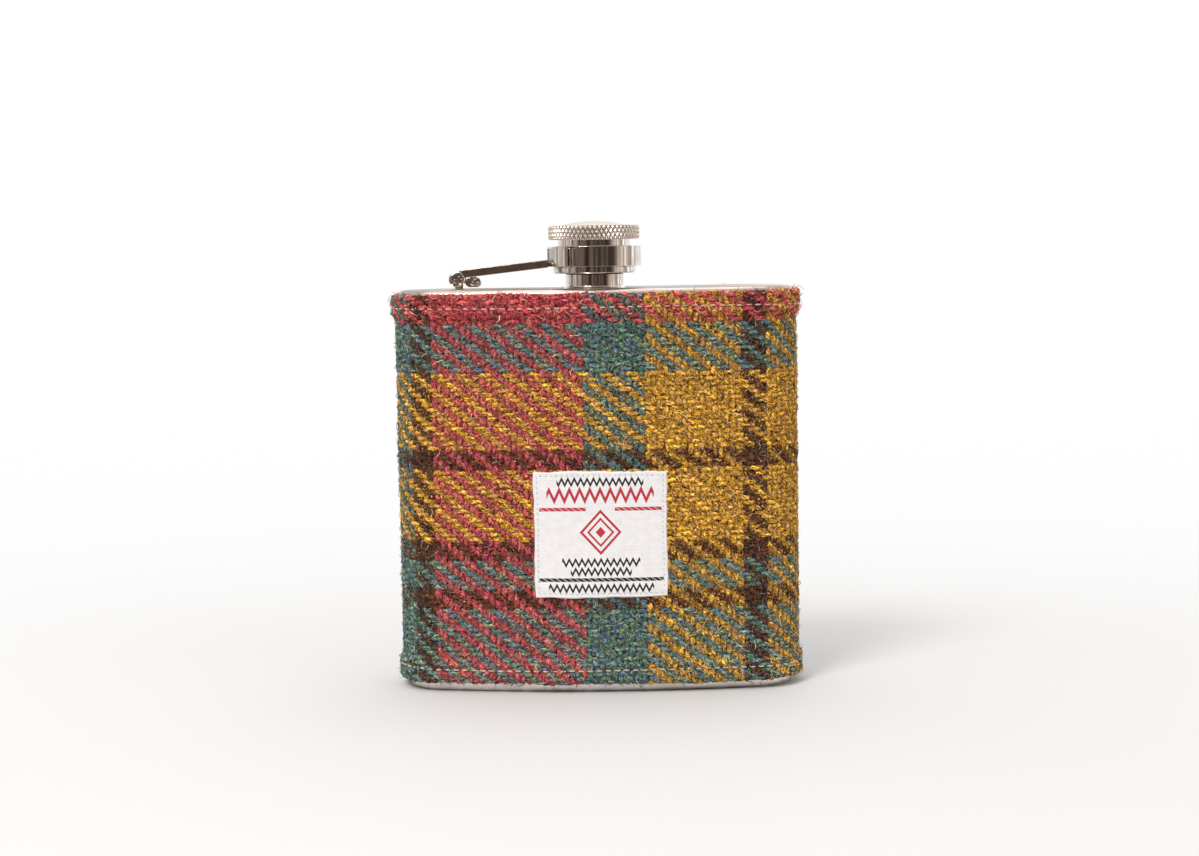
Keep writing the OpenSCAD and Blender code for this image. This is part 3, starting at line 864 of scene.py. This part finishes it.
def woven_label(finish, thread):
    """A soft label, its edges folded under and a little wavy where the stitches pull it down."""
    columns, rows = 126, 120
    x, z = np.meshgrid(np.linspace(-1, 1, columns), np.linspace(-1, 1, rows))
    from_side = (1 - np.maximum(np.abs(x), np.abs(z))) * label_w / 2
    wave_x = 0.16 * MM * lattice_noise(z * 8, 0 * z, 1.1, 1.0, 21) * np.abs(x) ** 8 * np.sign(x)
    wave_z = 0.20 * MM * lattice_noise(x * 7 + 30, 0 * x, 1.3, 1.0, 23) * np.abs(z) ** 8 * np.sign(z)
    bow = 0.22 * MM * (1 - x**2) * np.sign(z) * np.abs(z) ** 6
    flat_x, flat_z = x * label_w / 2, z * label_h / 2
    sag = 0.05 * MM * lattice_noise(x * 6, z * 6, 1.0, 1.0, 25)
    pucker = np.cos(2 * np.pi * (flat_x + flat_z) / (2.0 * MM))
    near_seam = np.exp(-((from_side - LABEL_SEAM) / (0.45 * MM)) ** 2)
    proud = 0.42 * MM + sag - near_seam * (0.10 + 0.04 * pucker) * MM
    proud -= 0.20 * MM * (1 - smooth_step(from_side, 0.0, 0.35 * MM))
    points, _ = label_place(flat_x + wave_x, label_z + flat_z + wave_z + bow, proud)
    pattern = np.stack([flat_x / MM, flat_z / MM, 0 * x], axis=-1)
    piece = grid_piece("label_cloth", points, label=pattern)
    thick = piece.modifiers.new("thickness", "SOLIDIFY")
    thick.thickness, thick.offset = 0.28 * MM, -1.0
    baked(piece)
    settle(smoothed(piece), "flask", finish, ["woven_label"])

    half_w, half_h, pitch = label_w / 2 - LABEL_SEAM, label_h / 2 - LABEL_SEAM, 1.25 * MM
    spots, ways = [], []
    for length, place, way in (
        (2 * half_w, lambda t: (t, half_h), (1, 0)), (2 * half_w, lambda t: (t, -half_h), (1, 0)),
        (2 * half_h, lambda t: (half_w, t), (0, 1)), (2 * half_h, lambda t: (-half_w, t), (0, 1)),
    ):
        for t in np.arange(-length / 2 + pitch / 2, length / 2, pitch):
            spots.append(place(t))
            ways.append(way)
    spots, ways = np.array(spots), np.array(ways, float)
    points, outward = label_place(spots[:, 0], label_z + spots[:, 1], np.full(len(spots), 0.30 * MM))
    across = np.stack([-outward[:, 1], outward[:, 0], 0 * outward[:, 0]], axis=-1)
    along = ways[:, :1] * across + ways[:, 1:] * np.array([0.0, 0.0, 1.0])
    seam = stitch_row("label_stitches", points, along, outward, 0.72 * MM, 0.17 * MM,
                      thread, ["label_stitching"])


# ---------------------------------------------------------------- cap and neck
def turned(name, profile, sides, radius_change=None, **attributes):
    """A lathe-turned piece about the neck's axis, from a profile of (radius, height) in metres.
    radius_change gives what is added to each radius at (row, angle)."""
    rings = np.array(profile)
    angle = np.arange(sides) * 2 * np.pi / sides
    radius = rings[:, :1] + 0 * angle[None, :]
    height = rings[:, 1:] + 0 * angle[None, :]
    if radius_change is not None:
        radius = radius + radius_change(rings, angle)
    points = np.stack([radius * np.cos(angle), plan.axis_y + radius * np.sin(angle), height], axis=-1)
    piece = grid_piece(name, points, wrap=True, **attributes)
    work = bmesh.new()
    work.from_mesh(piece.data)
    bmesh.ops.remove_doubles(work, verts=work.verts, dist=0.0005 * MM)
    work.to_mesh(piece.data)
    work.free()
    return piece


def screw_ridge(z, angle, bottom, top, phase=0.0):
    """How much of its full height a rounded screw thread has, fading in and out over one pitch."""
    turn = ((z / SCREW_PITCH - angle[None, :] / (2 * np.pi) + phase) % 1.0) * 2 - 1
    fade = smooth_step(z, bottom, bottom + SCREW_PITCH) * (1 - smooth_step(z, top - SCREW_PITCH, top))
    return np.clip(1.25 - 1.6 * np.abs(turn), 0.0, 1.0) * fade


def knurled_head(finish):
    """Cap head: a diamond knurl round its rim, chamfered edges and a low smooth dome."""
    low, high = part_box("cap_head")
    sleeve_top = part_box("cap_sleeve")[1].z
    radius, bore = (high.x - low.x) / 2, 7.05 * MM
    chamfer, dome_h, dome_r = 0.3 * MM, 1.1 * MM, radius - 2.6 * MM
    rim = high.z - dome_h
    face = np.linspace(sleeve_top + chamfer, rim - chamfer, 30)
    profile = [(0.0, low.z), (bore * 0.6, low.z), (bore, low.z), (bore, sleeve_top),
               (radius - chamfer - 1.2 * MM, sleeve_top), (radius - chamfer, sleeve_top)]
    profile += [(radius, z) for z in face]
    profile += [(radius - chamfer * 0.5, rim - chamfer * 0.35), (radius - chamfer, rim),
                (dome_r + 0.3 * MM, rim)]
    profile += [(dome_r * t, rim + dome_h * (1 - t * t)) for t in np.linspace(1.0, 0.0, 14)]
    starts, slope, depth = 60, math.tan(math.radians(31)), 0.36 * MM
    sides = starts * 12
    angle = np.arange(sides) * 2 * np.pi / sides
    rows = np.array(profile)
    shear = rows[:, 1:] * slope / radius
    one, other = (np.abs((starts * (angle[None, :] + way * shear) / (2 * np.pi)) % 1.0 - 0.5) * 2
                  for way in (1, -1))
    ridge = 1 - np.clip(np.maximum(one, other) * 1.35 - 0.35, 0, 1)
    groove = np.where((rows[:, 0] > radius - 0.6 * chamfer)[:, None], 1 - ridge, 0.0)
    piece = turned("knurled_cap_head", profile, sides, lambda *_: -depth * groove, groove=three(groove))
    return settle(smoothed(piece, 50), "cap", finish, ["cap_head"])


def threaded_neck(finish):
    """Neck: plain foot, rounded thread, bevelled mouth and an open bore."""
    low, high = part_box("neck_tube")
    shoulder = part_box("shoulder_pan")[1].z
    foot_r, bore = (high.x - low.x) / 2, 5.0 * MM
    root, crest = 6.2 * MM, 6.48 * MM
    foot_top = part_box("cap_sleeve")[0].z - 0.3 * MM
    thread = np.linspace(foot_top + 0.35 * MM, high.z - 0.5 * MM, 56)
    profile = [(bore, low.z), (root, low.z), (root, shoulder), (foot_r, shoulder), (foot_r, foot_top),
               (foot_r - 0.25 * MM, foot_top + 0.15 * MM)]
    profile += [(root, z) for z in thread]
    profile += [(root - 0.15 * MM, high.z - 0.2 * MM), (root - 0.4 * MM, high.z), (bore + 0.2 * MM, high.z),
                (bore, high.z - 0.2 * MM), (bore, (low.z + high.z) / 2), (bore, low.z)]

    def helix(rings, angle):
        z = rings[:, 1:]
        on_thread = (np.abs(rings[:, :1] - root) < 0.01 * MM) * (z > foot_top + 0.2 * MM)
        return (crest - root) * screw_ridge(z, angle, thread[0], thread[-1]) * on_thread

    piece = smoothed(turned("threaded_neck", profile, 128, helix), 35)
    return settle(piece, "flask", finish, ["neck_tube"])


def threaded_sleeve(finish):
    """Cap sleeve: flange, barrel and waist outside, a shallow thread inside."""
    low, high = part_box("cap_sleeve")
    flange_r, bore, crest = (high.x - low.x) / 2, 7.05 * MM, 6.86 * MM
    barrel_r, waist_r, flange_t, edge = 9.47 * MM, 8.6 * MM, 1.5 * MM, 0.25 * MM
    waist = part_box("captive_strap")[1].z - 0.1 * MM
    thread = np.linspace(high.z - 1.3 * MM, low.z + 0.3 * MM, 50)
    profile = [(bore, low.z + 0.15 * MM), (bore + 0.15 * MM, low.z), (flange_r - edge, low.z),
               (flange_r, low.z + edge), (flange_r, low.z + flange_t - edge / 2),
               (flange_r - edge / 2, low.z + flange_t), (barrel_r, low.z + flange_t), (barrel_r, waist),
               (barrel_r - edge, waist + edge / 2), (waist_r, waist + edge), (waist_r, high.z),
               (bore, high.z)]
    profile += [(bore, z) for z in thread]
    profile += [(bore, low.z + 0.15 * MM)]

    def helix(rings, angle):
        ridge = screw_ridge(rings[:, 1:], angle, thread[-1], thread[0], phase=0.5)
        return -(bore - crest) * ridge * (np.abs(rings[:, :1] - bore) < 0.001 * MM)

    piece = smoothed(turned("threaded_cap_sleeve", profile, 128, helix), 35)
    return settle(piece, "cap", finish, ["cap_sleeve"])


# ---------------------------------------------------------------- studio
def studio():
    """A pale floor that fades into a white surround, a soft light from the upper left and a dim room
    in front, which the polished metal mirrors."""
    floor = new_piece("floor", bpy.data.meshes.new("floor"))
    work = bmesh.new()
    bmesh.ops.create_circle(work, cap_ends=True, segments=96, radius=3.0)
    work.to_mesh(floor.data)
    work.free()
    f = Finish("floor", Roughness=0.75)
    f.shader.inputs["Specular IOR Level"].default_value = 0.15
    x, y, _ = f.split(f.object_place())
    cloud = f.noise(f.object_place(), 1.3, 2.0)
    f.put("Base Color", f.mix(cloud, (0.60, 0.595, 0.595), (0.61, 0.605, 0.605)))
    ahead = (y + 0.16).min(0.0) * 28.0
    far = x * x * 30.0 + y.max(0.0) ** 2.0 * 50.0 + ahead * ahead
    f.put("Alpha", f.band(1.0 / (far + 1.0), 0.0, 1.0))
    floor.data.materials.append(f.material)

    world = bpy.data.worlds.new("studio")
    bpy.context.scene.world = world
    world.use_nodes = True
    f = Shader(world.node_tree)
    f.nodes.clear()
    place = f.add("TexCoord", out="Generated")
    _, toward, up = f.split(place)
    room = f.ramp(f.add("MapRange", None, toward, -1.0, 1.0), (
        (0.0, (0.10, 0.075, 0.06)), (0.16, (0.15, 0.115, 0.095)), (0.30, (0.42, 0.36, 0.31)),
        (0.46, (0.78, 0.71, 0.65)), (0.60, (0.42, 0.37, 0.33)), (0.66, (1.0, 0.98, 0.96)),
        (1.0, (1.0, 1.0, 1.0)),
    ))
    streaks = f.noise(f.scaled(place, (6.0, 6.0, 0.25)), 1.0, 2.0)
    uneven = f.add("MapRange", None, streaks, 0.38, 0.62, 0.35, 1.65)
    striped = f.add("VectorMath", {"operation": "SCALE"}, room, Scale=uneven)
    mirrored = f.mix(f.add("MapRange", None, up, 0.25, 0.75), striped, (1.0, 0.99, 0.98))
    shown = f.mix(f.add("LightPath", out="Is Camera Ray"), mirrored, (1.0, 1.0, 1.0))
    f.add("OutputWorld", None, f.add("Background", None, shown), out=None)

    for name, place, size, power, colour, mirrored in (
        ("key", (-0.38, -0.66, 0.86), 0.42, 8.4, (1.0, 0.975, 0.95), True),
        ("fill", (0.80, -0.70, 0.35), 0.70, 0.8, (1.0, 0.98, 0.96), False),
        ("top", (0.05, 0.10, 1.00), 0.80, 2.0, (1.0, 1.0, 1.0), True),
    ):
        light = bpy.data.objects.new(name, bpy.data.lights.new(name, "AREA"))
        light.data.shape, light.data.size = "DISK", size
        light.data.energy, light.data.color = power, colour
        light.location = place
        light.rotation_mode = "QUATERNION"
        light.rotation_quaternion = (Vector((0, 0, 0.05)) - light.location).to_track_quat("-Z", "Y")
        light.visible_glossy = mirrored
        bpy.context.scene.collection.objects.link(light)
    bpy.context.scene.view_settings.view_transform = "Standard"


def camera():
    """Level with the shoulder of the flask, half a metre off, turned a little to its right side."""
    azimuth, elevation, distance = math.radians(1.64), math.radians(6.65), 0.500
    yaw, pitch, roll = math.radians(0.065), math.radians(-5.27), math.radians(0.93)
    aim = Vector((0.0, 0.0, 0.050))
    back = Vector((math.sin(azimuth) * math.cos(elevation), -math.cos(azimuth) * math.cos(elevation),
                   math.sin(elevation)))
    heading = yaw - azimuth
    forward = Vector((math.sin(heading) * math.cos(pitch), math.cos(heading) * math.cos(pitch),
                      math.sin(pitch)))
    data = bpy.data.cameras.new("camera")
    data.sensor_width, data.lens = 36.0, 62.058716
    data.clip_start, data.clip_end = 0.01, 10.0
    item = bpy.data.objects.new("camera", data)
    item.location = aim + back * distance
    item.rotation_mode = "QUATERNION"
    item.rotation_quaternion = forward.to_track_quat("-Z", "Y")
    turn = Matrix.Rotation(roll, 4, forward).to_quaternion()
    item.rotation_quaternion = turn @ item.rotation_quaternion
    bpy.context.scene.collection.objects.link(item)
    bpy.context.scene.camera = item


# ---------------------------------------------------------------- assembly
def build():
    camera()
    studio()
    polished = polished_steel()
    # Lit and shaded copies of one satin steel: the shoulder and wall darker and warmer, as painted
    # reflection of the dim room; the base lighter, as painted light against the dim room it mirrors.
    shoulder = satin_steel("satin_steel", (0.55, 0.465, 0.415), (0.44, 0.365, 0.325))
    base = satin_steel("painted_light_base_steel", (0.82, 0.77, 0.72), (0.68, 0.63, 0.585))
    dark = polished_steel("smooth_steel", (0.47, 0.41, 0.36), (0.37, 0.31, 0.27))
    struck = polished_steel("struck_steel", (0.80, 0.75, 0.70), (0.66, 0.60, 0.55), dents=0.45 * MM)
    white = cloudy("white_silicone", 350.0, (0.80, 0.79, 0.76), (0.72, 0.71, 0.68),
                   Roughness=0.45, Subsurface_Weight=0.1)
    thread = thread_finish("sewing_thread", (0.72, 0.58, 0.42))
    fine_thread = thread_finish("label_thread", (0.80, 0.79, 0.77))
    machined("shoulder_pan", "flask", shoulder, "steel_shoulder", bevel=0.0, crease=40.0)
    machined("base_pan", "flask", base, "steel_base", bevel=0.0, crease=40.0)
    machined("body_shell", "flask", shoulder, "steel_wall", bevel=0.0)
    machined("hinge_post", "flask", polished, "hinge_post_steel", 0.12 * MM)
    machined("neck_braze", "flask", polished, "neck_fillet", 0.0, 50.0)
    machined("swing_arm", "arm", dark, "swing_arm_steel", 0.14 * MM)
    machined("captive_strap", "arm", polished, "captive_strap_steel", 0.12 * MM)
    machined("hinge_pin", "arm", struck, "hinge_rivet", 0.50 * MM, segments=5)
    machined("arm_heel", "arm", struck, "arm_heel_bar", 0.45 * MM, segments=5)
    machined("cap_seal", "cap", white, "silicone_seal", 0.15 * MM)
    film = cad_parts["bonding_film"]
    film.data.materials.clear()
    dull = cloudy("bonding_film", 300.0, (0.62, 0.58, 0.48), (0.72, 0.68, 0.58), Roughness=0.4)
    film.data.materials.append(dull)
    knurled_head(knurled_steel())
    threaded_neck(polished)
    threaded_sleeve(polished)
    tweed_sleeve()
    hem_row("top_stitches", sleeve_high.z - STITCH_INSET, 31, thread, ["top_stitching"])
    hem_row("bottom_stitches", sleeve_low.z + STITCH_INSET, 33, thread, ["bottom_stitching"])
    lap_rows(thread)
    woven_label(label_finish(), fine_thread)


build()
